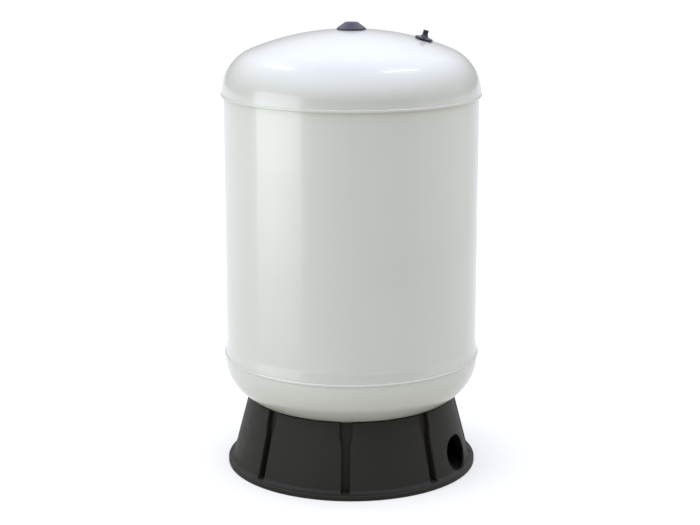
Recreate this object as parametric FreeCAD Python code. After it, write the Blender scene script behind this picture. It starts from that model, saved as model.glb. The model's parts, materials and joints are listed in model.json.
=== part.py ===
"""Upright diaphragm expansion vessel on a moulded skirt base, all sizes in millimetres.

Frame: origin on the floor at the centre of the base, +Z up, +X out through the pipe opening.
The vessel is a rolled steel shell between two dished heads. A rubber diaphragm, clamped near the
lower seam, parts the air above from the water below, which enters by an elbow under the lower head.
"""
import FreeCAD
import Part

import math
import os

from FreeCAD import Placement, Rotation, Vector

# ---- driving dimensions ----------------------------------------------------------------------

shell_r = 266.5
shell_wall = 2.2
shell_top = 812.0
flare_r = 270.0
flare_height = 22.0
seam_strip_width = 5.0
seam_strip_height = 0.6
seam_strip_angle = 115.0

head_r = 270.5
head_wall = 2.5
crown_r = 560.0
upper_knuckle = 95.0
lower_knuckle = 100.0
head_skirt = 1.0
upper_rim = 802.0
lower_rim = 242.0
bead_height = 6.0
bead_reach = 2.0

base_wall = 4.6
base_top_r = 219.4
base_taper = 0.232
base_foot_r = 267.0
foot_rim_height = 10.0
foot_flange_r = 256.0
foot_flange_rise = 2.4
foot_rounding = 3.0
foot_fillet = 11.0
seat_inner_r = 185.0
seat_gap = 0.3
lip_rounding = 3.0
flute_count = 8
flute_first_angle = 22.5
flute_mouth_width = 25.0
flute_mouth_drop = 30.0
flute_taper_drop = 20.0
flute_width = 17.0
flute_bend_r = 18.0
flute_top_r = 209.0
flute_low_r = 237.0
flute_floor_z = 12.0
flute_rounding = 3.0

port_z = 47.0
port_width = 84.0
port_height = 71.0

stud_count = 4
stud_first_angle = 45.0
stud_pcd_r = 197.0
stud_r = 4.0
stud_end_z = 116.0
nut_across_flats = 13.0
nut_height = 6.8
washer_r = 12.0
washer_thick = 2.0
stud_clearance = 0.5
boss_r = 16.0
boss_face_z = 134.0

socket_r = 30.0
socket_bore_r = 17.0
socket_low_z = 98.0
socket_high_z = 114.0
groove_depth = 2.0
groove_half_width = 1.6
groove_levels = (5.0, 10.5)
neck_ring_wire_r = 1.1
pipe_r = 21.2
pipe_wall = 2.6
pipe_bend_r = 40.0
outlet_r = 26.0
outlet_thread_r = 19.5
outlet_start = 150.0
outlet_end = 190.0
outlet_counterbore = 8.0
outlet_chamfer = 1.5

liner_wall = 2.0
liner_offset = 6.5
liner_top = 292.0
neck_inner_r = 15.0
neck_outer_r = 16.7
neck_foot_gap = 1.0
retainer_bore_r = 12.0
retainer_sleeve_r = 14.8
retainer_flange_r = 24.0
retainer_flange_thick = 1.5
diaphragm_offset = 9.0
diaphragm_wall = 3.0
diaphragm_top = 282.0
diaphragm_bead_low = 270.0
diaphragm_bead_r = 256.6
crown_disc_r = 60.0
crown_disc_thick = 6.0
clamp_low = 264.0
clamp_high = 288.0
clamp_r = 253.0
clamp_wall = 3.0
clamp_clearance = 0.4

apex_boss_r = 16.0
apex_thread_r = 8.48
apex_boss_depth = 12.0
apex_boss_rise = 0.7
apex_cap_r = 30.5
apex_cap_top_r = 13.5
apex_cap_height = 15.0
apex_cap_drop = 0.5
apex_cap_rim = 2.6
apex_cap_wall = 2.2
apex_hub_r = 14.5
apex_hub_gap = 1.9
apex_hollow_r = 16.0
apex_hollow_height = 10.5
apex_core_r = 5.0
apex_stub_r = 8.4
apex_stub_length = 8.0
apex_seal_r = 13.5
apex_seal_thick = 1.6

valve_circle_r = 150.0
valve_angle = 18.3
bush_r = 8.5
bush_depth = 10.0
bush_thread_r = 5.2
gasket_r = 7.6
gasket_low = 0.9
hex_low = 1.9
hex_high = 4.4
stem_r = 3.85
stem_end = 16.3
stem_depth = 8.5
stem_chamfer = 0.5
air_way_r = 1.5
core_bore_r = 2.4
core_bore_low = 1.8
core_low = 7.3
core_body_sink = 1.5
pin_r = 0.7
pin_reach_low = 2.0
pin_top = 15.8
pin_collar_r = 1.5
pin_collar_thick = 0.5
core_seal_r = 1.8
core_seal_thick = 1.25
spring_wire_r = 0.22
spring_coil_r = 1.55
spring_turns = 5
spring_end_gap = 0.05

valve_cap_low = 0.9
valve_cap_r = 19.0
valve_cap_edge_r = 2.0
valve_cap_sweep_r = 9.6
valve_cap_neck_r = 5.5
valve_cap_tip_r = 5.9
valve_cap_tip_rounding = 1.6
valve_cap_top = 20.7
valve_cap_bore_r = 3.93
valve_cap_bore_top = 18.2
valve_cap_recess_r = 9.5
valve_cap_recess_gap = 0.5
valve_cap_seal_r = 3.83
valve_cap_seal_bore_r = 1.6
valve_cap_seal_low = 16.6
valve_cap_seal_thick = 1.5

Z_AXIS = Vector(0, 0, 1)
ORIGIN = Vector(0, 0, 0)


# ---- helpers ---------------------------------------------------------------------------------

def at(r, z):
    """A point of the half plane that is turned about the vertical axis."""
    return Vector(r, 0, z)


def unit(vector):
    return vector * (1.0 / vector.Length)


def rounded_edges(corners, radii):
    """Edges of a closed outline through the corners, each one rounded by its own radius."""
    count = len(corners)
    starts = []
    ends = []
    arcs = []
    for i in range(count):
        corner = corners[i]
        back = unit(corners[i - 1] - corner)
        ahead = unit(corners[(i + 1) % count] - corner)
        radius = radii.get(i, 0.0)
        if radius == 0.0:
            starts.append(corner)
            ends.append(corner)
            arcs.append(None)
            continue
        half = 0.5 * math.acos(max(-1.0, min(1.0, back.dot(ahead))))
        reach = radius / math.tan(half)
        middle = corner + unit(back + ahead) * (radius / math.sin(half) - radius)
        starts.append(corner + back * reach)
        ends.append(corner + ahead * reach)
        arcs.append(middle)
    edges = []
    for i in range(count):
        if arcs[i] is not None:
            edges.append(Part.Arc(starts[i], arcs[i], ends[i]).toShape())
        following = starts[(i + 1) % count]
        if (following - ends[i]).Length > 1e-6:
            edges.append(Part.LineSegment(ends[i], following).toShape())
    return edges


def turned_edges(edges):
    """The solid made by turning a closed outline once round the vertical axis."""
    face = Part.Face(Part.Wire(Part.__sortEdges__(edges)))
    return face.revolve(ORIGIN, Z_AXIS, 360)


def turned(points, radii=None):
    """The turned solid of an outline given as (radius, height) pairs."""
    corners = [at(r, z) for r, z in points]
    return turned_edges(rounded_edges(corners, radii or {}))


def ring(inner_r, outer_r, low, high):
    return turned([(inner_r, low), (outer_r, low), (outer_r, high), (inner_r, high)])


def disc(radius, low, high):
    return Part.makeCylinder(radius, high - low, Vector(0, 0, low))


def polar(radius, angle, z=0.0):
    turn = math.radians(angle)
    return Vector(radius * math.cos(turn), radius * math.sin(turn), z)


def spun(shape, angle):
    """A copy of the shape turned about the vertical axis."""
    return shape.transformed(Placement(ORIGIN, Rotation(Z_AXIS, angle)).toMatrix())


def hex_prism(across_flats, low, high):
    """A hexagonal bar with its corners turned off at both ends."""
    corner_r = across_flats / math.sqrt(3.0)
    corners = [polar(corner_r, 60.0 * i, low) for i in range(7)]
    bar = Part.Face(Part.makePolygon(corners)).extrude(Vector(0, 0, high - low))
    slope = (corner_r - 0.5 * across_flats) * math.tan(math.radians(30.0))
    lathe = turned([(0, low), (0.5 * across_flats, low), (corner_r, low + slope),
                    (corner_r, high - slope), (0.5 * across_flats, high), (0, high)])
    return bar.common(lathe)


def knuckle_drop(knuckle):
    """Height from the crown's centre to the knuckle's centre, where the two arcs are tangent."""
    return math.sqrt((crown_r - knuckle) ** 2 - (head_r - knuckle) ** 2)


def head_edges(offset, start_z, knuckle, centre_z, up):
    """Meridian of a dished head from its straight flange at start_z to its apex on the axis.

    The curve lies inside the head's outer face by offset, and up is +1 or -1 for a head
    that bulges upwards or downwards.
    """
    tilt = math.asin((head_r - knuckle) / (crown_r - knuckle))
    knuckle_centre = at(head_r - knuckle, centre_z)
    crown_centre = at(0, centre_z - up * knuckle_drop(knuckle))

    def on_arc(centre, radius, angle):
        return centre + Vector(math.sin(angle), 0, up * math.cos(angle)) * (radius - offset)

    flange_start = at(head_r - offset, start_z)
    flange_end = on_arc(knuckle_centre, knuckle, 0.5 * math.pi)
    knuckle_middle = on_arc(knuckle_centre, knuckle, 0.5 * (0.5 * math.pi + tilt))
    tangent_point = on_arc(crown_centre, crown_r, tilt)
    crown_middle = on_arc(crown_centre, crown_r, 0.5 * tilt)
    apex = on_arc(crown_centre, crown_r, 0.0)
    return [
        Part.LineSegment(flange_start, flange_end).toShape(),
        Part.Arc(flange_end, knuckle_middle, tangent_point).toShape(),
        Part.Arc(tangent_point, crown_middle, apex).toShape(),
    ]


def dished(offset, wall, start_z, knuckle, centre_z, up):
    """A dished sheet between two offsets of the head's outer face."""
    outer = head_edges(offset, start_z, knuckle, centre_z, up)
    inner = head_edges(offset + wall, start_z, knuckle, centre_z, up)
    rim = Part.LineSegment(at(head_r - offset, start_z), at(head_r - offset - wall, start_z))
    apex_z = crown_height(0.0, offset, knuckle, centre_z, up)
    inner_apex_z = crown_height(0.0, offset + wall, knuckle, centre_z, up)
    core = Part.LineSegment(at(0, apex_z), at(0, inner_apex_z))
    return turned_edges(outer + inner + [rim.toShape(), core.toShape()])


def crown_height(r, offset, knuckle, centre_z, up):
    """Height of the crown's face at radius r, for an offset from the head's outer face."""
    radius = crown_r - offset
    return centre_z + up * (math.sqrt(radius ** 2 - r ** 2) - knuckle_drop(knuckle))


def knuckle_height(r, offset, knuckle, centre_z, up):
    """Height of the knuckle's face at radius r, for an offset from the head's outer face."""
    radius = knuckle - offset
    return centre_z + up * math.sqrt(radius ** 2 - (r - head_r + knuckle) ** 2)


# ---- levels that follow from the driving dimensions --------------------------------------------

upper_centre = upper_rim + head_skirt
lower_centre = lower_rim - head_skirt
upper_head_shape = (upper_knuckle, upper_centre, 1)
lower_head_shape = (lower_knuckle, lower_centre, -1)
upper_apex = crown_height(0.0, 0.0, *upper_head_shape)
lower_apex = crown_height(0.0, 0.0, *lower_head_shape)
shell_bottom = lower_rim + bead_height
shell_inner_r = shell_r - shell_wall
valve_tilt = math.degrees(math.asin(valve_circle_r / crown_r))
valve_height = crown_height(valve_circle_r, 0.0, *upper_head_shape)
liner_floor_z = crown_height(0.0, liner_offset, *lower_head_shape)
liner_top_z = crown_height(0.0, liner_offset + liner_wall, *lower_head_shape)
neck_ring_levels = [socket_low_z + level for level in groove_levels]
neck_foot_z = socket_low_z + neck_foot_gap
base_top_z = knuckle_height(base_top_r, -seat_gap, *lower_head_shape)


def on_valve_axis(shape):
    """Moves a shape built on the vertical axis onto the air valve's axis, square to the head."""
    tilt = Placement(Vector(valve_circle_r, 0, valve_height), Rotation(Vector(0, 1, 0), valve_tilt))
    return spun(shape.transformed(tilt.toMatrix()), valve_angle)


# ---- welded steel vessel -----------------------------------------------------------------------

def make_shell():
    inner_flare = flare_r - shell_wall
    straight = shell_bottom + flare_height
    body = turned(
        [(inner_flare, shell_bottom), (flare_r, shell_bottom), (flare_r, shell_bottom + 3.0),
         (shell_r, straight), (shell_r, shell_top), (shell_inner_r, shell_top),
         (shell_inner_r, straight), (inner_flare, shell_bottom + 3.0)],
        {2: 25.0, 3: 40.0, 6: 40.0, 7: 25.0})
    strip_low = straight + seam_strip_width
    strip_length = upper_rim - bead_height - 1.0 - strip_low
    strip = Part.makeBox(seam_strip_height + 1.0, seam_strip_width, strip_length,
                         Vector(shell_r - 1.0, -0.5 * seam_strip_width, strip_low))
    return body.fuse(spun(strip, seam_strip_angle)).removeSplitter()


def make_upper_head():
    head = dished(0.0, head_wall, upper_rim, *upper_head_shape)
    boss_hole = disc(apex_boss_r, upper_apex - 20.0, upper_apex + 5.0)
    valve_hole = on_valve_axis(disc(bush_r, -12.0, 6.0))
    return head.cut(boss_hole).cut(valve_hole)


def make_lower_head():
    head = dished(0.0, head_wall, lower_rim, *lower_head_shape)
    return head.cut(disc(socket_r, lower_apex - 5.0, lower_apex + 20.0))


def weld_bead(inner_r, low_r, high_r, low):
    """A ring of weld metal from low up to the next edge, crowned on its outer side."""
    high = low + bead_height
    crown = at(max(low_r, high_r) + bead_reach, low + 0.5 * bead_height)
    outline = [
        Part.LineSegment(at(inner_r, high), at(inner_r, low)).toShape(),
        Part.LineSegment(at(inner_r, low), at(low_r, low)).toShape(),
        Part.Arc(at(low_r, low), crown, at(high_r, high)).toShape(),
        Part.LineSegment(at(high_r, high), at(inner_r, high)).toShape(),
    ]
    return turned_edges(outline)


def make_upper_seam_weld():
    return weld_bead(shell_r, head_r - 0.5, head_r, upper_rim - bead_height)


def make_lower_seam_weld():
    return weld_bead(flare_r - shell_wall, head_r, flare_r, lower_rim)


def make_inlet_socket():
    """Stainless socket in the lower head, with two grooves for the neck's rings."""
    body = turned([(socket_bore_r, socket_low_z), (socket_r, socket_low_z),
                   (socket_r, socket_high_z), (socket_bore_r, socket_high_z)], {1: 2.0})
    for groove_z in neck_ring_levels:
        body = body.cut(ring(socket_bore_r - 1.0, socket_bore_r + groove_depth,
                             groove_z - groove_half_width, groove_z + groove_half_width))
    return body


# ---- water side --------------------------------------------------------------------------------


def make_elbow_pipe():
    """Pipe from the socket's lower face round one bend to the outlet, open at both ends."""
    bend_top = Vector(0, 0, port_z + pipe_bend_r)
    bend_end = Vector(pipe_bend_r, 0, port_z)
    lean = pipe_bend_r * (1.0 - math.cos(math.radians(45.0)))
    bend_middle = Vector(lean, 0, port_z + lean)
    route = Part.Wire([
        Part.LineSegment(Vector(0, 0, socket_low_z), bend_top).toShape(),
        Part.Arc(bend_top, bend_middle, bend_end).toShape(),
        Part.LineSegment(bend_end, Vector(outlet_start + outlet_counterbore, 0, port_z)).toShape(),
    ])

    def along_route(radius):
        circle = Part.Wire(Part.makeCircle(radius, Vector(0, 0, socket_low_z), Z_AXIS))
        return route.makePipeShell([circle], True, True)

    return along_route(pipe_r).cut(along_route(pipe_r - pipe_wall))


def make_outlet_socket():
    """Female threaded socket on the end of the pipe, with a lead-in chamfer at its mouth."""
    step = outlet_start + outlet_counterbore
    socket = turned([(pipe_r + 0.05, outlet_start), (outlet_r, outlet_start), (outlet_r, outlet_end),
                     (outlet_thread_r + outlet_chamfer, outlet_end),
                     (outlet_thread_r, outlet_end - outlet_chamfer),
                     (outlet_thread_r, step), (pipe_r + 0.05, step)], {1: 1.5, 2: 1.0})
    lay_down = Placement(Vector(0, 0, port_z), Rotation(Vector(0, 1, 0), 90))
    return socket.transformed(lay_down.toMatrix())


def make_liner():
    """Plastic lining of the water side, with a neck that runs down through the socket."""
    sheet = dished(liner_offset, liner_wall, liner_top, *lower_head_shape)
    neck = ring(neck_inner_r, neck_outer_r, neck_foot_z, liner_floor_z + 0.5 * liner_wall)
    hole = disc(neck_inner_r, socket_low_z, liner_top_z + liner_wall)
    return sheet.fuse(neck).cut(hole).removeSplitter()


def make_neck_retainer():
    """Flanged sleeve that holds the liner's neck open against the rings."""
    seat = liner_top_z + 0.9
    return turned([(retainer_bore_r, neck_foot_z), (retainer_sleeve_r, neck_foot_z),
                   (retainer_sleeve_r, seat - 0.3), (retainer_flange_r, seat),
                   (retainer_flange_r, seat + retainer_flange_thick),
                   (retainer_bore_r, seat + retainer_flange_thick)])


def make_neck_o_rings():
    """Two rings of one size, lying in the socket's grooves round the neck."""
    middle_r = neck_outer_r + neck_ring_wire_r + 0.05
    return Part.makeCompound(
        [Part.makeTorus(middle_r, neck_ring_wire_r, Vector(0, 0, z)) for z in neck_ring_levels])


def make_diaphragm():
    """Rubber wall lying on the liner, with a thick edge bead held by the clamp ring."""
    wall = dished(diaphragm_offset, diaphragm_wall, diaphragm_top, *lower_head_shape)
    outer_r = head_r - diaphragm_offset
    bead = turned([(diaphragm_bead_r, diaphragm_bead_low), (outer_r, diaphragm_bead_low),
                   (outer_r, diaphragm_top), (diaphragm_bead_r, diaphragm_top)], {0: 1.5, 3: 1.5})
    opening = disc(crown_disc_r + 0.3, lower_apex, diaphragm_bead_low)
    return wall.fuse(bead).cut(opening).removeSplitter()


def make_diaphragm_crown():
    """Stiff round middle of the diaphragm, dished like the wall that surrounds it."""
    low = crown_height(crown_disc_r, diaphragm_offset, *lower_head_shape)
    return turned([(0, low), (crown_disc_r, low), (crown_disc_r, low + crown_disc_thick),
                   (0, low + crown_disc_thick)], {1: 1.5, 2: 2.0})


def make_clamp_ring():
    """Channel ring that presses the diaphragm's bead and the liner's edge outwards."""
    back_r = clamp_r + clamp_wall
    low_lip_r = head_r - diaphragm_offset - diaphragm_wall - clamp_clearance
    high_lip_r = head_r - diaphragm_offset
    return turned([(clamp_r, clamp_low), (low_lip_r, clamp_low), (low_lip_r, clamp_low + clamp_wall),
                   (back_r, clamp_low + clamp_wall), (back_r, clamp_high - clamp_wall),
                   (high_lip_r, clamp_high - clamp_wall), (high_lip_r, clamp_high), (clamp_r, clamp_high)],
                  {0: 2.0, 7: 2.0})


# ---- cap on the apex -----------------------------------------------------------------------------

def make_apex_boss():
    """Threaded boss welded into the middle of the upper head."""
    return ring(apex_thread_r, apex_boss_r, upper_apex - apex_boss_depth, upper_apex + apex_boss_rise)


def make_apex_cap():
    """Hollow conical cap with a screwed stub under its middle."""
    foot = upper_apex - apex_cap_drop
    hub_face = upper_apex + apex_boss_rise + apex_hub_gap
    stub_end = hub_face - apex_stub_length
    top = foot + apex_cap_height
    inner_r = apex_cap_r - apex_cap_wall
    return turned(
        [(apex_core_r, stub_end), (apex_stub_r, stub_end), (apex_stub_r, hub_face),
         (apex_hub_r, hub_face), (apex_hub_r, foot + apex_hollow_height),
         (apex_hollow_r, foot + apex_hollow_height), (inner_r, foot + apex_cap_rim - 1.0),
         (inner_r, foot), (apex_cap_r, foot), (apex_cap_r, foot + apex_cap_rim),
         (apex_cap_top_r, top), (0, top), (0, top - apex_cap_wall), (apex_core_r, top - apex_cap_wall)],
        {9: 1.0, 10: 1.2})


def make_apex_cap_seal():
    low = upper_apex + apex_boss_rise + 0.1
    return ring(apex_stub_r + 0.3, apex_seal_r, low, low + apex_seal_thick)


# ---- air valve, built on the vertical axis from the head's face ------------------------------------

def make_air_valve_bush():
    return on_valve_axis(ring(bush_thread_r, bush_r, -bush_depth, gasket_low))


def make_air_valve_gasket():
    return on_valve_axis(ring(bush_thread_r, gasket_r, gasket_low, hex_low))


def make_air_valve_stem():
    """Brass valve body: thread below, thin hexagon, threaded stem above, bored for the core."""
    thread = disc(bush_thread_r - 0.05, -stem_depth, hex_low)
    stem = turned([(0, hex_low), (stem_r, hex_low), (stem_r, stem_end - stem_chamfer),
                   (stem_r - stem_chamfer, stem_end), (0, stem_end)])
    body = thread.fuse(hex_prism(nut_across_flats, hex_low, hex_high)).fuse(stem)
    body = body.cut(disc(core_bore_r, core_bore_low, stem_end + 1.0))
    return on_valve_axis(body.cut(disc(air_way_r, -stem_depth - 1.0, core_bore_low + 1.0)).removeSplitter())


def make_valve_core_body():
    return on_valve_axis(ring(pin_r + 0.25, core_bore_r - 0.05, core_low, stem_end - core_body_sink))


def make_valve_core_pin():
    """Pin with a collar under the seal, pushed inwards to let air pass."""
    low = core_bore_low - pin_reach_low
    collar_top = core_low - core_seal_thick - 0.05
    collar_low = collar_top - pin_collar_thick
    return on_valve_axis(turned([(0, low), (pin_r, low), (pin_r, collar_low), (pin_collar_r, collar_low),
                                 (pin_collar_r, collar_top), (pin_r, collar_top), (pin_r, pin_top),
                                 (0, pin_top)], {6: 0.3}))


def make_valve_core_seal():
    return on_valve_axis(ring(pin_r, core_seal_r, core_low - core_seal_thick - 0.05, core_low - 0.05))


def make_valve_core_spring():
    """Coil spring round the pin, between the bore's step and the pin's collar."""
    low = core_bore_low + spring_wire_r + spring_end_gap
    high = core_low - core_seal_thick - pin_collar_thick - spring_wire_r - 2.0 * spring_end_gap
    helix = Part.makeHelix((high - low) / spring_turns, high - low, spring_coil_r)
    helix.translate(Vector(0, 0, low))
    section = Part.makeCircle(spring_wire_r, Vector(spring_coil_r, 0, low), Vector(0, 1, 0))
    return on_valve_axis(Part.Wire(helix.Edges).makePipeShell([Part.Wire(section)], True, True))


def make_air_valve_cap():
    """Screw cap: a wide flange with a round rim that sweeps up into a slightly flared stem."""
    rim_middle = valve_cap_low + valve_cap_edge_r
    flange_top = rim_middle + valve_cap_edge_r
    rim_r = valve_cap_r - valve_cap_edge_r
    sweep_z = flange_top + valve_cap_sweep_r
    sweep_r = valve_cap_neck_r + valve_cap_sweep_r
    sweep_reach = valve_cap_sweep_r * math.sqrt(0.5)
    tip_z = valve_cap_top - valve_cap_tip_rounding
    tip_reach = valve_cap_tip_rounding * math.sqrt(0.5)
    flat_r = valve_cap_tip_r - valve_cap_tip_rounding
    recess_z = hex_high + valve_cap_recess_gap
    outline = [
        at(valve_cap_recess_r, valve_cap_low), at(rim_r, valve_cap_low), at(valve_cap_r, rim_middle),
        at(rim_r, flange_top), at(sweep_r, flange_top),
        at(sweep_r - sweep_reach, sweep_z - sweep_reach), at(valve_cap_neck_r, sweep_z),
        at(valve_cap_tip_r, tip_z), at(flat_r + tip_reach, tip_z + tip_reach), at(flat_r, valve_cap_top),
        at(0, valve_cap_top), at(0, valve_cap_bore_top), at(valve_cap_bore_r, valve_cap_bore_top),
        at(valve_cap_bore_r, recess_z), at(valve_cap_recess_r, recess_z)]
    rounds = [1, 4, 7]
    edges = []
    i = 0
    while i < len(outline):
        if i in rounds:
            edges.append(Part.Arc(*outline[i:i + 3]).toShape())
            i += 2
        else:
            edges.append(Part.LineSegment(outline[i], outline[(i + 1) % len(outline)]).toShape())
            i += 1
    return on_valve_axis(turned_edges(edges))


def make_air_valve_cap_seal():
    return on_valve_axis(ring(valve_cap_seal_bore_r, valve_cap_seal_r, valve_cap_seal_low,
                              valve_cap_seal_low + valve_cap_seal_thick))


# ---- moulded base ------------------------------------------------------------------------------

def cone_r(z, inset=0.0):
    """Radius of the base's conical wall at a height, or of a face inside it."""
    return base_top_r + base_taper * (base_top_z - z) - inset


def head_filling(offset):
    """Everything inside the lower head's meridian, for an offset from its outer face."""
    meridian = head_edges(offset, lower_rim, *lower_head_shape)
    apex = at(0, crown_height(0.0, offset, *lower_head_shape))
    lid = Part.LineSegment(at(head_r - offset, lower_rim), at(0, lower_rim))
    core = Part.LineSegment(at(0, lower_rim), apex)
    return turned_edges(meridian + [lid.toShape(), core.toShape()])


def base_form(inset):
    """The base's outer form without flutes, or the space inside its wall for an inset."""
    above = base_top_z + 15.0
    flange_z = foot_rim_height + foot_flange_rise
    form = turned(
        [(0, -inset), (base_foot_r - inset, -inset), (base_foot_r - inset, foot_rim_height - inset),
         (foot_flange_r - 0.5 * inset, flange_z - inset), (cone_r(above, inset), above), (0, above)],
        {2: max(foot_rounding - inset, 0.5), 3: foot_fillet + inset})
    return form.cut(head_filling(-seat_gap - inset))


def flute_cutter(inset):
    """A groove with a wide mouth and a nearly upright floor, grown by the wall for an inset."""
    reach = base_foot_r + 40.0
    high = base_top_z + 20.0
    low = flute_floor_z - inset
    mouth_z = base_top_z - flute_mouth_drop
    channel_z = mouth_z - flute_taper_drop
    half = 0.5 * flute_width + inset
    mouth_half = 0.5 * flute_mouth_width + inset
    right = [(half, low), (half, channel_z), (mouth_half, mouth_z), (mouth_half, high)]
    left = [(-y, z) for y, z in reversed(right)]
    corners = [Vector(0, y, z) for y, z in right + left]
    bends = {i: flute_bend_r for i in (1, 2, 5, 6)}
    face = Part.Face(Part.Wire(Part.__sortEdges__(rounded_edges(corners, bends))))
    channel = face.extrude(Vector(reach, 0, 0))
    lean = (flute_low_r - flute_top_r) / (base_top_z - flute_floor_z)
    low_r = flute_low_r - inset + lean * inset
    high_r = flute_top_r - inset - lean * (high - base_top_z)
    profile = [Vector(low_r, 0, low), Vector(reach, 0, low), Vector(reach, 0, high), Vector(high_r, 0, high)]
    depth = Part.Face(Part.makePolygon(profile + profile[:1]))
    depth.translate(Vector(0, -flute_mouth_width, 0))
    return channel.common(depth.extrude(Vector(0, 2.0 * flute_mouth_width, 0)))


def all_round(shape, first_angle, count):
    """Copies of a shape spaced evenly about the vertical axis."""
    return [spun(shape, first_angle + 360.0 / count * i) for i in range(count)]


def soften_flutes(form):
    """Rounds the upright edges where each flute's sides leave the conical wall."""
    upright = []
    for edge in form.Edges:
        middle = edge.valueAt(0.5 * (edge.FirstParameter + edge.LastParameter))
        if edge.BoundBox.ZLength > 1.0 and math.hypot(middle.x, middle.y) > cone_r(middle.z) - 0.5:
            upright.append(edge)
    return form.makeFillet(flute_rounding, upright)


def lip_cutter():
    """What is taken off the base's upper edge to round it, so that it stands clear of the head."""
    corner = at(base_top_r, base_top_z)
    down_wall = unit(at(base_taper, -1.0))
    seat_r = lower_knuckle + seat_gap
    along_seat = unit(at(-math.sqrt(seat_r ** 2 - (base_top_r - head_r + lower_knuckle) ** 2),
                         -(base_top_r - head_r + lower_knuckle)))
    half = 0.5 * math.acos(down_wall.dot(along_seat))
    reach = lip_rounding / math.tan(half)
    inward = unit(down_wall + along_seat)
    middle = corner + inward * (lip_rounding / math.sin(half) - lip_rounding)
    wall_point = corner + down_wall * reach
    seat_point = corner + along_seat * reach
    outside = corner - inward * reach
    return turned_edges([
        Part.Arc(wall_point, middle, seat_point).toShape(),
        Part.LineSegment(seat_point, outside).toShape(),
        Part.LineSegment(outside, wall_point).toShape(),
    ])


def port_cutter():
    """The pipe opening: a slot with half-round ends, wider than it is high."""
    start = outlet_end + 5.0
    radius = 0.5 * port_height
    side = 0.5 * (port_width - port_height)
    slot = Part.makeBox(base_foot_r, 2.0 * side, port_height, Vector(start, -side, port_z - radius))
    for y in (-side, side):
        end = Part.makeCylinder(radius, base_foot_r, Vector(start, y, port_z), Vector(1, 0, 0))
        slot = slot.fuse(end)
    return slot


def make_base():
    """Skirt base: a thin moulded cone with flutes, a flanged foot and a seat under the head."""
    outer = base_form(0.0)
    inner = base_form(base_wall)
    for flute in all_round(flute_cutter(0.0), flute_first_angle, flute_count):
        outer = outer.cut(flute)
    for flute in all_round(flute_cutter(base_wall), flute_first_angle, flute_count):
        inner = inner.cut(flute)
    base = soften_flutes(outer).cut(lip_cutter()).cut(inner)
    boss = disc(boss_r, boss_face_z, base_top_z)
    boss.translate(Vector(stud_pcd_r, 0, 0))
    boss = boss.cut(head_filling(-0.5 * base_wall))
    for pillar in all_round(boss, stud_first_angle, stud_count):
        base = base.fuse(pillar)
    hole = disc(stud_r + stud_clearance, boss_face_z - 5.0, base_top_z)
    hole.translate(Vector(stud_pcd_r, 0, 0))
    for opening in all_round(hole, stud_first_angle, stud_count):
        base = base.cut(opening)
    base = base.cut(disc(seat_inner_r, 0.5 * lower_apex, base_top_z))
    return base.cut(port_cutter())


def on_stud_circle(shape):
    """One compound with a copy of the shape at every stud."""
    shape.translate(Vector(stud_pcd_r, 0, 0))
    return Part.makeCompound(all_round(shape, stud_first_angle, stud_count))


def make_base_studs():
    """Studs welded under the lower head, each one shaped to the head's face at its root."""
    stud = turned([(0, stud_end_z), (stud_r - 1.0, stud_end_z), (stud_r, stud_end_z + 1.0),
                   (stud_r, base_top_z), (0, base_top_z)])
    stud.translate(Vector(stud_pcd_r, 0, 0))
    stud = stud.cut(head_filling(0.0))
    return Part.makeCompound(all_round(stud, stud_first_angle, stud_count))


def make_stud_washers():
    return on_stud_circle(ring(stud_r + 0.3, washer_r, boss_face_z - washer_thick, boss_face_z))


def make_stud_nuts():
    high = boss_face_z - washer_thick
    nut = hex_prism(nut_across_flats, high - nut_height, high)
    return on_stud_circle(nut.cut(disc(stud_r + 0.05, high - nut_height - 1.0, high + 1.0)))


# ---- export ------------------------------------------------------------------------------------

sub_parts = {
    "base": make_base,
    "base_studs": make_base_studs,
    "stud_washers": make_stud_washers,
    "stud_nuts": make_stud_nuts,
    "lower_head": make_lower_head,
    "lower_seam_weld": make_lower_seam_weld,
    "shell": make_shell,
    "upper_seam_weld": make_upper_seam_weld,
    "upper_head": make_upper_head,
    "inlet_socket": make_inlet_socket,
    "elbow_pipe": make_elbow_pipe,
    "outlet_socket": make_outlet_socket,
    "liner": make_liner,
    "neck_retainer": make_neck_retainer,
    "neck_o_rings": make_neck_o_rings,
    "diaphragm": make_diaphragm,
    "diaphragm_crown": make_diaphragm_crown,
    "clamp_ring": make_clamp_ring,
    "apex_boss": make_apex_boss,
    "apex_cap": make_apex_cap,
    "apex_cap_seal": make_apex_cap_seal,
    "air_valve_bush": make_air_valve_bush,
    "air_valve_gasket": make_air_valve_gasket,
    "air_valve_stem": make_air_valve_stem,
    "valve_core_body": make_valve_core_body,
    "valve_core_pin": make_valve_core_pin,
    "valve_core_seal": make_valve_core_seal,
    "valve_core_spring": make_valve_core_spring,
    "air_valve_cap": make_air_valve_cap,
    "air_valve_cap_seal": make_air_valve_cap_seal,
}

os.makedirs("parts", exist_ok=True)
for name, make in sub_parts.items():
    shape = make()
    box = shape.BoundBox
    print(f"{name:20s} solids {len(shape.Solids)} valid {shape.isValid()} volume {shape.Volume:12.1f}"
          f" x {box.XMin:7.1f}..{box.XMax:6.1f} y {box.YMin:7.1f}..{box.YMax:6.1f}"
          f" z {box.ZMin:6.1f}..{box.ZMax:6.1f}")
    shape.exportStep(f"parts/{name}.step")
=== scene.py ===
"""Looks for the upright expansion vessel: paint, plastics, weld beads, studio light and camera.

All lengths are metres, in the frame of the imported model: +Z up, +X out through the pipe opening.
"""
import json
import math

import bmesh
import bpy
from mathutils import Matrix, Vector


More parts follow.
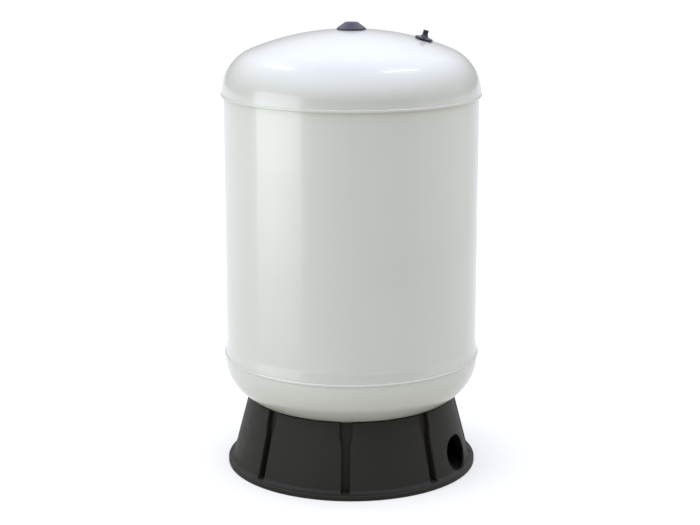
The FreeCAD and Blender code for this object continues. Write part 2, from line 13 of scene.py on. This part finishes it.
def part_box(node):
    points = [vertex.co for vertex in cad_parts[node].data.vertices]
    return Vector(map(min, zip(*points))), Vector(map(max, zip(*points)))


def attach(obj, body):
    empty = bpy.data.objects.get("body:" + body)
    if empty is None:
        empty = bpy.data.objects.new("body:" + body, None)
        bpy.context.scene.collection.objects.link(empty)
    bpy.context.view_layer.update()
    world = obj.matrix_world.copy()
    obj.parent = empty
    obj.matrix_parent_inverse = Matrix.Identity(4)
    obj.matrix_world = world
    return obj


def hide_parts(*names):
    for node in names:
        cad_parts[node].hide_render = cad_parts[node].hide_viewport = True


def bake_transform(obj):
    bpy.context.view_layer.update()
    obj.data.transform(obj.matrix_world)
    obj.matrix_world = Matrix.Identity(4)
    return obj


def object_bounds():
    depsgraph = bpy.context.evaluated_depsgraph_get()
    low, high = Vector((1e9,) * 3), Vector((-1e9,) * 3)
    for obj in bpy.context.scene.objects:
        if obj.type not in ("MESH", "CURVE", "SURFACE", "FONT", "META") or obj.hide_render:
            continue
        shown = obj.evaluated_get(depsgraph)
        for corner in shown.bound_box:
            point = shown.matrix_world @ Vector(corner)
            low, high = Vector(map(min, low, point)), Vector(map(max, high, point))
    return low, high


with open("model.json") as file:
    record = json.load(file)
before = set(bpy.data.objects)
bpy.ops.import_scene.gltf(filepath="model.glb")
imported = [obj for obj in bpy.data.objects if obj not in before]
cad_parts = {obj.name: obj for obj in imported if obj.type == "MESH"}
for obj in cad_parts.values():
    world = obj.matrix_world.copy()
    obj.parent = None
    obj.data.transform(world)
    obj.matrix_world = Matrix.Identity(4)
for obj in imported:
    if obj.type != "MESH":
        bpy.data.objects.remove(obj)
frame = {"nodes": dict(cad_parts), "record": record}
cad_low, cad_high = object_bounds()
nodes = frame["nodes"]

# ---- camera ------------------------------------------------------------------------------------

CAMERA_AZIMUTH = math.radians(25.2)
CAMERA_DISTANCE = 3.45
CAMERA_HEIGHT = 1.263
CAMERA_PITCH = math.radians(12.45)
CAMERA_LENS = 85.5
CAMERA_SHIFT = (-0.0019, -0.043)
SENSOR_WIDTH = 36.0


def make_camera():
    """Camera higher than the vessel's top, looking a little down on it."""
    data = bpy.data.cameras.new("camera")
    data.lens = CAMERA_LENS
    data.sensor_width = SENSOR_WIDTH
    data.shift_x, data.shift_y = CAMERA_SHIFT
    camera = bpy.data.objects.new("camera", data)
    bpy.context.scene.collection.objects.link(camera)
    back = Vector((math.sin(CAMERA_AZIMUTH), -math.cos(CAMERA_AZIMUTH), 0.0))
    camera.location = back * CAMERA_DISTANCE + Vector((0.0, 0.0, CAMERA_HEIGHT))
    camera.rotation_euler = (0.5 * math.pi - CAMERA_PITCH, 0.0, CAMERA_AZIMUTH)
    bpy.context.scene.camera = camera


# ---- node helpers ------------------------------------------------------------------------------

WHITE = (1.0, 1.0, 1.0)


def feed(tree, socket, value):
    """Links an output to a socket, or sets the socket to a plain value."""
    if isinstance(value, bpy.types.NodeSocket):
        tree.links.new(value, socket)
    else:
        socket.default_value = value


def ramp(tree, value, start, end, low, high):
    """A smooth step from low to high while the value goes from start to end."""
    step = tree.nodes.new("ShaderNodeMapRange")
    step.interpolation_type = "SMOOTHSTEP"
    feed(tree, step.inputs["Value"], value)
    feed(tree, step.inputs["From Min"], start)
    feed(tree, step.inputs["From Max"], end)
    feed(tree, step.inputs["To Min"], low)
    feed(tree, step.inputs["To Max"], high)
    return step.outputs[0]


class Shader:
    """A material whose nodes are added by short calls that return the node's output."""

    def __init__(self, name):
        self.material = bpy.data.materials.new(name)
        self.material.use_nodes = True
        self.tree = self.material.node_tree
        self.tree.nodes.clear()
        self.surface = self.tree.nodes.new("ShaderNodeBsdfPrincipled")
        output = self.tree.nodes.new("ShaderNodeOutputMaterial")
        self.tree.links.new(self.surface.outputs[0], output.inputs["Surface"])
        self.place = self.tree.nodes.new("ShaderNodeTexCoord").outputs["Object"]

    def feed(self, socket, value):
        feed(self.tree, socket, value)

    def set(self, **values):
        """Sets the principled shader's inputs, with underscores for the spaces in their names."""
        for key, value in values.items():
            self.feed(self.surface.inputs[key.replace("_", " ")], value)

    def scaled(self, x, y, z):
        """The object's own coordinates, scaled per axis."""
        mapping = self.tree.nodes.new("ShaderNodeMapping")
        self.feed(mapping.inputs["Vector"], self.place)
        mapping.inputs["Scale"].default_value = (x, y, z)
        return mapping.outputs[0]

    def noise(self, scale, detail=2.0, roughness=0.5, place=None):
        """Noise between 0 and 1, with its scale in waves per metre."""
        texture = self.tree.nodes.new("ShaderNodeTexNoise")
        self.feed(texture.inputs["Vector"], place or self.place)
        texture.inputs["Scale"].default_value = scale
        texture.inputs["Detail"].default_value = detail
        texture.inputs["Roughness"].default_value = roughness
        return texture.outputs["Fac"]

    def spread(self, value, low, high, start=0.2, end=0.8):
        """A smooth step that maps a value's middle range onto low to high."""
        return ramp(self.tree, value, start, end, low, high)

    def reach(self):
        """Distance from the object's origin."""
        length = self.tree.nodes.new("ShaderNodeVectorMath")
        length.operation = "LENGTH"
        self.feed(length.inputs[0], self.place)
        return length.outputs["Value"]

    def blend(self, factor, first, second):
        """A colour between two colours."""
        mix = self.tree.nodes.new("ShaderNodeMix")
        mix.data_type = "RGBA"
        self.feed(mix.inputs["Factor"], factor)
        self.feed(mix.inputs["A"], first)
        self.feed(mix.inputs["B"], second)
        return mix.outputs["Result"]

    def bump(self, height, depth, strength=1.0, under=None):
        """A normal that follows a height, laid over another normal where one is given."""
        relief = self.tree.nodes.new("ShaderNodeBump")
        relief.inputs["Strength"].default_value = strength
        relief.inputs["Distance"].default_value = depth
        self.feed(relief.inputs["Height"], height)
        if under is not None:
            self.feed(relief.inputs["Normal"], under)
        return relief.outputs[0]


def shade(value, tint=WHITE):
    """A colour with alpha, from one value and a tint."""
    return (value * tint[0], value * tint[1], value * tint[2], 1.0)


# ---- materials ---------------------------------------------------------------------------------

PAINT_TINT = (1.0, 1.0, 0.84)
PAINT_TINT_LIGHT = (1.0, 1.0, 0.845)
CHARCOAL_TINT = (1.0, 0.92, 0.58)
CHARCOAL_TINT_LIGHT = (1.02, 0.94, 0.6)
CAP_TINT = (1.0, 1.05, 1.4)
MILK_TINT = (1.0, 1.0, 0.95)
MILK_TINT_LIGHT = (1.0, 1.0, 0.96)
PAPER_TINT = (1.0, 0.985, 0.87)
METAL_DULLING = 0.85


def vessel_paint():
    """Pearl-white gloss enamel: faint orange peel over the slow waves of pressed sheet."""
    s = Shader("vessel_paint")
    waves = s.bump(s.noise(9.0, 1.0), 0.0006)
    peel = s.bump(s.noise(420.0, 2.0), 0.00002, under=waves)
    film = s.spread(s.noise(3.0, 3.0), 0.0, 1.0)
    s.set(Base_Color=s.blend(film, shade(0.42, PAINT_TINT), shade(0.44, PAINT_TINT_LIGHT)),
          Metallic=0.15, Roughness=s.spread(s.noise(14.0, 3.0), 0.29, 0.34), Normal=peel,
          Coat_Weight=0.55, Coat_Roughness=0.04, IOR=1.25)
    return s.material


def base_plastic():
    """Charcoal polypropylene with a fine spark-eroded grain and faint flow marks."""
    s = Shader("base_plastic")
    flow = s.spread(s.noise(6.0, 4.0, place=s.scaled(1.0, 1.0, 0.35)), 0.0, 1.0)
    grain = s.bump(s.noise(1400.0, 3.0, 0.6), 0.00006, 0.8)
    s.set(Base_Color=s.blend(flow, shade(0.011, CHARCOAL_TINT), shade(0.015, CHARCOAL_TINT_LIGHT)),
          Roughness=s.spread(s.noise(60.0, 3.0), 0.5, 0.58), Normal=grain, IOR=1.26)
    return s.material


def cap_plastic():
    """Black polyethylene moulding, smooth with a slight haze."""
    s = Shader("cap_plastic")
    haze = s.noise(300.0, 3.0)
    s.set(Base_Color=s.blend(haze, shade(0.006, CAP_TINT), shade(0.010, CAP_TINT)), IOR=1.42,
          Roughness=s.spread(haze, 0.26, 0.36), Normal=s.bump(s.noise(900.0, 2.0), 0.00002))
    return s.material


def metal(name, colour, rough_low, rough_high, grain):
    """Bare or plated metal with fine drawn lines."""
    s = Shader(name)
    lines = s.noise(grain, 2.0, place=s.scaled(1.0, 1.0, 8.0))
    dull = s.spread(s.noise(35.0, 4.0), 0.0, 1.0)
    darker = shade(METAL_DULLING, colour)
    s.set(Base_Color=s.blend(dull, darker, shade(1.0, colour)), Metallic=1.0,
          Roughness=s.spread(lines, rough_low, rough_high), Normal=s.bump(lines, 0.00002, 0.6))
    return s.material


def stainless():
    return metal("stainless", (0.56, 0.55, 0.53), 0.28, 0.4, 350.0)


def zinc_steel():
    return metal("zinc_steel", (0.62, 0.64, 0.66), 0.25, 0.38, 500.0)


def spring_steel():
    return metal("spring_steel", (0.5, 0.5, 0.5), 0.25, 0.32, 2500.0)


def valve_brass():
    return metal("valve_brass", (0.71, 0.5, 0.2), 0.2, 0.3, 1500.0)


def black_rubber():
    """Moulded rubber with bloom in patches."""
    s = Shader("black_rubber")
    bloom = s.spread(s.noise(25.0, 4.0), 0.0, 1.0)
    s.set(Base_Color=s.blend(bloom, shade(0.016), shade(0.024)), IOR=1.5,
          Roughness=s.spread(bloom, 0.6, 0.75), Normal=s.bump(s.noise(700.0, 3.0), 0.00005))
    return s.material


def liner_plastic():
    """Natural polypropylene, milky and faintly mottled."""
    s = Shader("liner_plastic")
    mottle = s.spread(s.noise(12.0, 3.0), 0.0, 1.0)
    s.set(Base_Color=s.blend(mottle, shade(0.56, MILK_TINT), shade(0.62, MILK_TINT_LIGHT)),
          Roughness=s.spread(mottle, 0.4, 0.5), Normal=s.bump(s.noise(260.0), 0.00003), IOR=1.49)
    return s.material


FOOT_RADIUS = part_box("base")[1].y
# Painted light: the floor's glow, strongest next to the foot, where it washes out the contact
# shadow, and weaker further out.
FLOOR_GLOW_NEAR = 0.22
FLOOR_GLOW_FAR = 0.18


def studio_floor():
    """Pale paper floor with a faint tooth, glowing a little from within as painted light that is
    strongest next to the foot, and near-black under the vessel as painted shade.
    """
    s = Shader("studio_floor")
    tooth = s.noise(120.0, 3.0)
    reach = s.reach()
    # Painted shade: the floor inside the foot is coloured near-black and gets no glow, so it shows
    # dark through the base's port.
    clear_of_painted_shade = s.spread(reach, 0.0, 1.0, 0.98 * FOOT_RADIUS, FOOT_RADIUS)
    # Painted light: the glow is strongest just outside the foot, washing out the vessel's contact
    # shadow on the floor.
    glow = s.spread(reach, FLOOR_GLOW_NEAR, FLOOR_GLOW_FAR, 1.1 * FOOT_RADIUS, 4.0 * FOOT_RADIUS)
    paper = s.blend(tooth, shade(0.49, PAPER_TINT), shade(0.51, PAPER_TINT))
    s.set(Base_Color=s.blend(clear_of_painted_shade, shade(0.02), paper), Roughness=0.85,
          Specular_IOR_Level=0.0, Normal=s.bump(tooth, 0.00005),
          Emission_Color=shade(1.0, PAPER_TINT),
          Emission_Strength=s.spread(clear_of_painted_shade, 0.0, glow, 0.0, 1.0))
    return s.material


MATERIALS = {make.__name__: make() for make in (
    vessel_paint, base_plastic, cap_plastic, stainless, zinc_steel, spring_steel, valve_brass,
    black_rubber, liner_plastic)}


SLOTS = {part["node"]: part["material_slot"] for part in frame["record"]["subparts"]}


def finish_cad_nodes():
    """Gives every CAD node the procedural material of its slot in the record."""
    for node_name, slot_name in SLOTS.items():
        for slot in nodes[node_name].material_slots:
            slot.material = MATERIALS[slot_name]


# ---- weld beads --------------------------------------------------------------------------------

BEAD_STEPS = 960
BEAD_SECTION = 14
RIPPLE_PITCH = 0.0035
RIPPLE_DEPTH = 0.00018
RIPPLE_LAG = 0.9
BEAD_RISE = 0.002
BEAD_SHARP_ANGLE = math.radians(50.0)


def mesh_object(name, mesh, material):
    """A smooth-shaded object of a new mesh with one material."""
    obj = bpy.data.objects.new(name, mesh)
    bpy.context.scene.collection.objects.link(obj)
    mesh.materials.append(material)
    mesh.polygons.foreach_set("use_smooth", [True] * len(mesh.polygons))
    mesh.update()
    return obj


def ring_size(node_name):
    """Inner and outer radius and low and high end of a CAD node turned about the vessel's axis."""
    radii = [math.hypot(v.co.x, v.co.y) for v in nodes[node_name].data.vertices]
    low, high = (corner.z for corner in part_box(node_name))
    return min(radii), max(radii), low, high


def bead_section(size, ripples, angle):
    """Radius and height of the points round a bead at an angle, pressed in by the ripples."""
    inner, outer, low, high = size
    middle = 0.5 * (low + high)
    half = 0.5 * (high - low)
    face = outer - BEAD_RISE
    points = [(inner, high), (inner, low)]
    for j in range(BEAD_SECTION + 1):
        across = math.pi * j / BEAD_SECTION - 0.5 * math.pi
        wave = math.sin(ripples * angle + RIPPLE_LAG * math.cos(across)) - 1.0
        crown = (BEAD_RISE + RIPPLE_DEPTH * wave) * math.cos(across)
        points.append((face + crown, middle + half * math.sin(across)))
    return points


def weld_bead(name, node_name):
    """A seam weld with the stacked ripples of its run, in the place of the plain CAD ring."""
    size = ring_size(node_name)
    ripples = round(2.0 * math.pi * size[1] / RIPPLE_PITCH)
    mesh = bmesh.new()
    loops = []
    for i in range(BEAD_STEPS):
        angle = 2.0 * math.pi * i / BEAD_STEPS
        loops.append([mesh.verts.new((r * math.cos(angle), r * math.sin(angle), z))
                      for r, z in bead_section(size, ripples, angle)])
    for i in range(BEAD_STEPS):
        here = loops[i]
        ahead = loops[(i + 1) % BEAD_STEPS]
        for j in range(len(here)):
            k = (j + 1) % len(here)
            mesh.faces.new((here[j], ahead[j], ahead[k], here[k]))
    bmesh.ops.recalc_face_normals(mesh, faces=mesh.faces)
    data = bpy.data.meshes.new(name)
    mesh.to_mesh(data)
    mesh.free()
    bead = mesh_object(name, data, MATERIALS[SLOTS[node_name]])
    bead.data.set_sharp_from_angle(angle=BEAD_SHARP_ANGLE)
    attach(bead, "vessel")
    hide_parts(node_name)


# ---- soft pieces -------------------------------------------------------------------------------


def stretched(node_name):
    """A CAD node's own form, copied into a new object with its placement baked in, in the place of
    the hidden CAD node."""
    mesh = nodes[node_name].data.copy()
    piece = bpy.data.objects.new(f"{node_name}_stretching", mesh)
    bpy.context.scene.collection.objects.link(piece)
    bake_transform(piece)
    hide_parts(node_name)


# ---- studio ------------------------------------------------------------------------------------

FLOOR_RADIUS = 60.0
FLOOR_SIDES = 96
FLOOR_DROP = 0.0002
WINDOW_DISTANCE = 1.15
LEFT_WINDOW = (-84.0, -40.0)
LEFT_TINT = (0.82, 0.88, 1.0)
LEFT_PANES = ((0.12, 0.55), (0.24, 0.95), (0.36, 1.4), (0.5, 1.9), (1.1, 2.75))
RIGHT_WINDOW = (55.0, 110.0)
RIGHT_TINT = (0.96, 0.97, 1.0)
RIGHT_PANES = ((0.3, 0.1), (1.2, 0.3))
STRIP_DISTANCE = 3.0
STRIP_WIDTH = 0.16
STRIP_RADIANCE = 10.0
LEFT_STRIP = ((-130.0, 42.0), (-110.0, 58.0))
RIGHT_STRIP = ((74.0, 71.0), (109.0, 54.0))
CEILING_LOW = math.sin(math.radians(4.0))
CEILING_HIGH = math.sin(math.radians(62.0))
CEILING_RADIANCE = 2.5
FRONT_RADIANCE = 0.2
BACK_RADIANCE = 0.38
WALL_BACK = -0.9
WALL_FRONT = 0.2
WALL_TINT = (1.0, 1.0, 0.92)
CEILING_TINT = (0.93, 0.975, 1.29)


def make_floor():
    """A wide staged disc just under the vessel's foot."""
    mesh = bmesh.new()
    bmesh.ops.create_circle(mesh, cap_ends=True, segments=FLOOR_SIDES, radius=FLOOR_RADIUS)
    bmesh.ops.translate(mesh, verts=mesh.verts, vec=(0.0, 0.0, cad_low.z - FLOOR_DROP))
    data = bpy.data.meshes.new("floor")
    mesh.to_mesh(data)
    mesh.free()
    floor = mesh_object("floor", data, studio_floor())


def around(azimuth, elevation=0.0):
    """Direction from the vessel, with azimuth counted from the camera, positive to its right."""
    angle = CAMERA_AZIMUTH + math.radians(azimuth) - 0.5 * math.pi
    rise = math.radians(elevation)
    level = math.cos(rise)
    return Vector((math.cos(angle) * level, math.sin(angle) * level, math.sin(rise)))


def panel(name, place, away, along, width, height, radiance, tint):
    """A rectangular lamp, its width along one direction, with its brightness given as radiance."""
    data = bpy.data.lights.new(name, "AREA")
    data.shape = "RECTANGLE"
    data.size = width
    data.size_y = height
    data.energy = radiance * math.pi * width * height
    data.color = tint
    lamp = bpy.data.objects.new(name, data)
    bpy.context.scene.collection.objects.link(lamp)
    lamp.location = place
    lamp.visible_camera = False
    across = (along - along.dot(away) * away).normalized()
    lamp.rotation_euler = Matrix((across, away.cross(across), away)).transposed().to_euler()


def window(name, first, last, panes, tint):
    """An upright light beside the vessel between two azimuths, in panes from the floor up."""
    middle = around(0.5 * (first + last))
    along = around(last) - around(first)
    width = 2.0 * WINDOW_DISTANCE * math.tan(0.5 * math.radians(last - first))
    low = 0.0
    for i, (high, radiance) in enumerate(panes):
        place = middle * WINDOW_DISTANCE + Vector((0.0, 0.0, 0.5 * (low + high)))
        panel(f"{name}_{i}", place, middle, along, width, high - low, radiance, tint)
        low = high


def strip(name, first, last):
    """A narrow lamp above the vessel, between two directions of azimuth and elevation."""
    along = around(*last) - around(*first)
    middle = (around(*first) + around(*last)).normalized()
    place = middle * STRIP_DISTANCE + Vector((0.0, 0.0, cad_high.z))
    length = STRIP_DISTANCE * along.length
    panel(name, place, middle, along, length, STRIP_WIDTH, STRIP_RADIANCE, WHITE)


def make_world():
    """A bright ceiling over dim surroundings, dimmest on the camera's side."""
    world = bpy.data.worlds.new("studio")
    bpy.context.scene.world = world
    world.use_nodes = True
    tree = world.node_tree
    tree.nodes.clear()
    output = tree.nodes.new("ShaderNodeOutputWorld")
    background = tree.nodes.new("ShaderNodeBackground")
    tree.links.new(background.outputs[0], output.inputs["Surface"])
    place = tree.nodes.new("ShaderNodeTexCoord").outputs["Generated"]
    parts = tree.nodes.new("ShaderNodeSeparateXYZ")
    tree.links.new(place, parts.inputs[0])
    toward = tree.nodes.new("ShaderNodeVectorMath")
    toward.operation = "DOT_PRODUCT"
    tree.links.new(place, toward.inputs[0])
    toward.inputs[1].default_value = around(0.0)
    walls = ramp(tree, toward.outputs["Value"], WALL_BACK, WALL_FRONT, BACK_RADIANCE, FRONT_RADIANCE)
    strength = ramp(tree, parts.outputs["Z"], CEILING_LOW, CEILING_HIGH, walls, CEILING_RADIANCE)
    tree.links.new(strength, background.inputs["Strength"])
    tint = tree.nodes.new("ShaderNodeMix")
    tint.data_type = "RGBA"
    cooler = ramp(tree, parts.outputs["Z"], CEILING_LOW, CEILING_HIGH, 0.0, 1.0)
    tree.links.new(cooler, tint.inputs["Factor"])
    tint.inputs["A"].default_value = shade(1.0, WALL_TINT)
    tint.inputs["B"].default_value = shade(1.0, CEILING_TINT)
    tree.links.new(tint.outputs["Result"], background.inputs["Color"])


def make_lights():
    """The world, a tall window on each side, and a strip high up on each side."""
    make_world()
    window("left_window", *LEFT_WINDOW, LEFT_PANES, LEFT_TINT)
    window("right_window", *RIGHT_WINDOW, RIGHT_PANES, RIGHT_TINT)
    strip("right_strip", *RIGHT_STRIP)
    strip("left_strip", *LEFT_STRIP)


make_camera()
finish_cad_nodes()
weld_bead("upper_bead", "upper_seam_weld")
weld_bead("lower_bead", "lower_seam_weld")
stretched("diaphragm")
stretched("valve_core_spring")
make_floor()
make_lights()
bpy.context.scene.view_settings.view_transform = "Standard"
